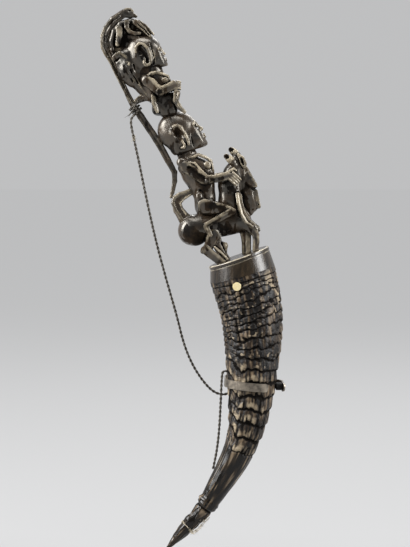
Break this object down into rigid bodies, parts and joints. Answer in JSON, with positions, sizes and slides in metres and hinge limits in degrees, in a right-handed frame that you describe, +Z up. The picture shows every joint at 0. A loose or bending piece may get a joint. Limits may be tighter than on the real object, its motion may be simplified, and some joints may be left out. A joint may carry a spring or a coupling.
{
  "type": "batak medicine horn",
  "caption": "Hollow ringed animal horn with a carved wooden stopper of stacked riding and crouching figures on a cord, held upright by a metal strap with a stand socket.",
  "frame": {"origin": "centre of the mouth of the stand socket behind the horn, where the rod of a stand enters from below", "axes": "+Z up along the socket and the standing horn, +X the way the carved figures face, +Y from the horn to the socket"},
  "size_m": [0.1285, 0.0499, 0.3804],
  "materials": {
    "horn": "dark ringed horn, worn paler on the ridges, polished toward the tip",
    "neck_wood": "dark brown wood with an oily gloss",
    "carved_wood": "near-black carved wood, glossy with handling, brown in the hollows",
    "bone": "yellowed bone",
    "strap_metal": "worn grey-brown patina",
    "felt": "black felt",
    "cord": "dark twisted plant fibre with pale strands",
    "thread": "pale frayed fibre"
  },
  "bodies": {
    "horn": {"horn_shell": "horn", "neck_ring": "neck_wood", "front_peg": "bone", "rear_peg": "bone", "strap": "strap_metal", "strap_pad": "felt", "stand_socket": "strap_metal", "tip_thread": "thread", "tether_cord": "cord"},
    "stopper": {"stopper_plug": "carved_wood", "horse": "carved_wood", "rider": "carved_wood", "squatting_figure": "carved_wood", "crouching_animal": "carved_wood", "crest_lizard": "carved_wood", "tether_lashing": "cord"}
  },
  "joints": [
    {"name": "stopper_lift", "type": "slide", "parent": "horn", "child": "stopper", "axis": [-0.2672, 0, 0.9636], "range_m": [0, 0.045]}
  ]
}
